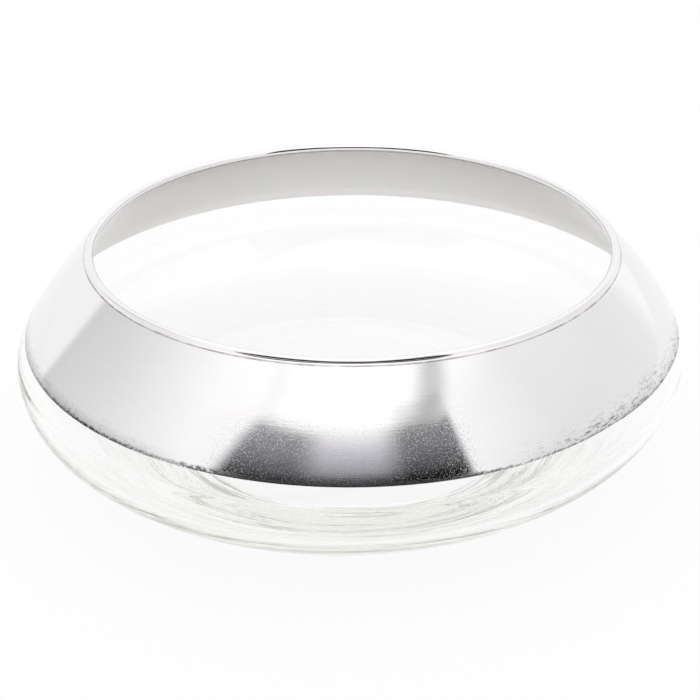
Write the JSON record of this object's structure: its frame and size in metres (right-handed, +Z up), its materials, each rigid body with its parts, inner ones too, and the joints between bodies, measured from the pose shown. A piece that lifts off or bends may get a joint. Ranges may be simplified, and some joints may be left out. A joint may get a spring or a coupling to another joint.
{
  "type": "glass bowl",
  "caption": "Low wide clear glass bowl with a heavy base and an in-leaning shoulder in satin silver that is rolled over the rounded lip",
  "frame": {"origin": "on the surface that the bowl stands on, below the middle of its widest ring", "axes": "+Z up out of the mouth; X is the side that the hand-blown rings drift along, and Y runs from the front to the back"},
  "size_m": [0.254, 0.254, 0.085],
  "materials": {
    "clear_glass": "clear, hand-blown, faint green-grey where thick",
    "satin_silver": "deposited silver, satin with fine brushing and light wear"
  },
  "bodies": {
    "root": {"glass_bowl": "clear_glass", "silver_band": "satin_silver"}
  },
  "joints": []
}
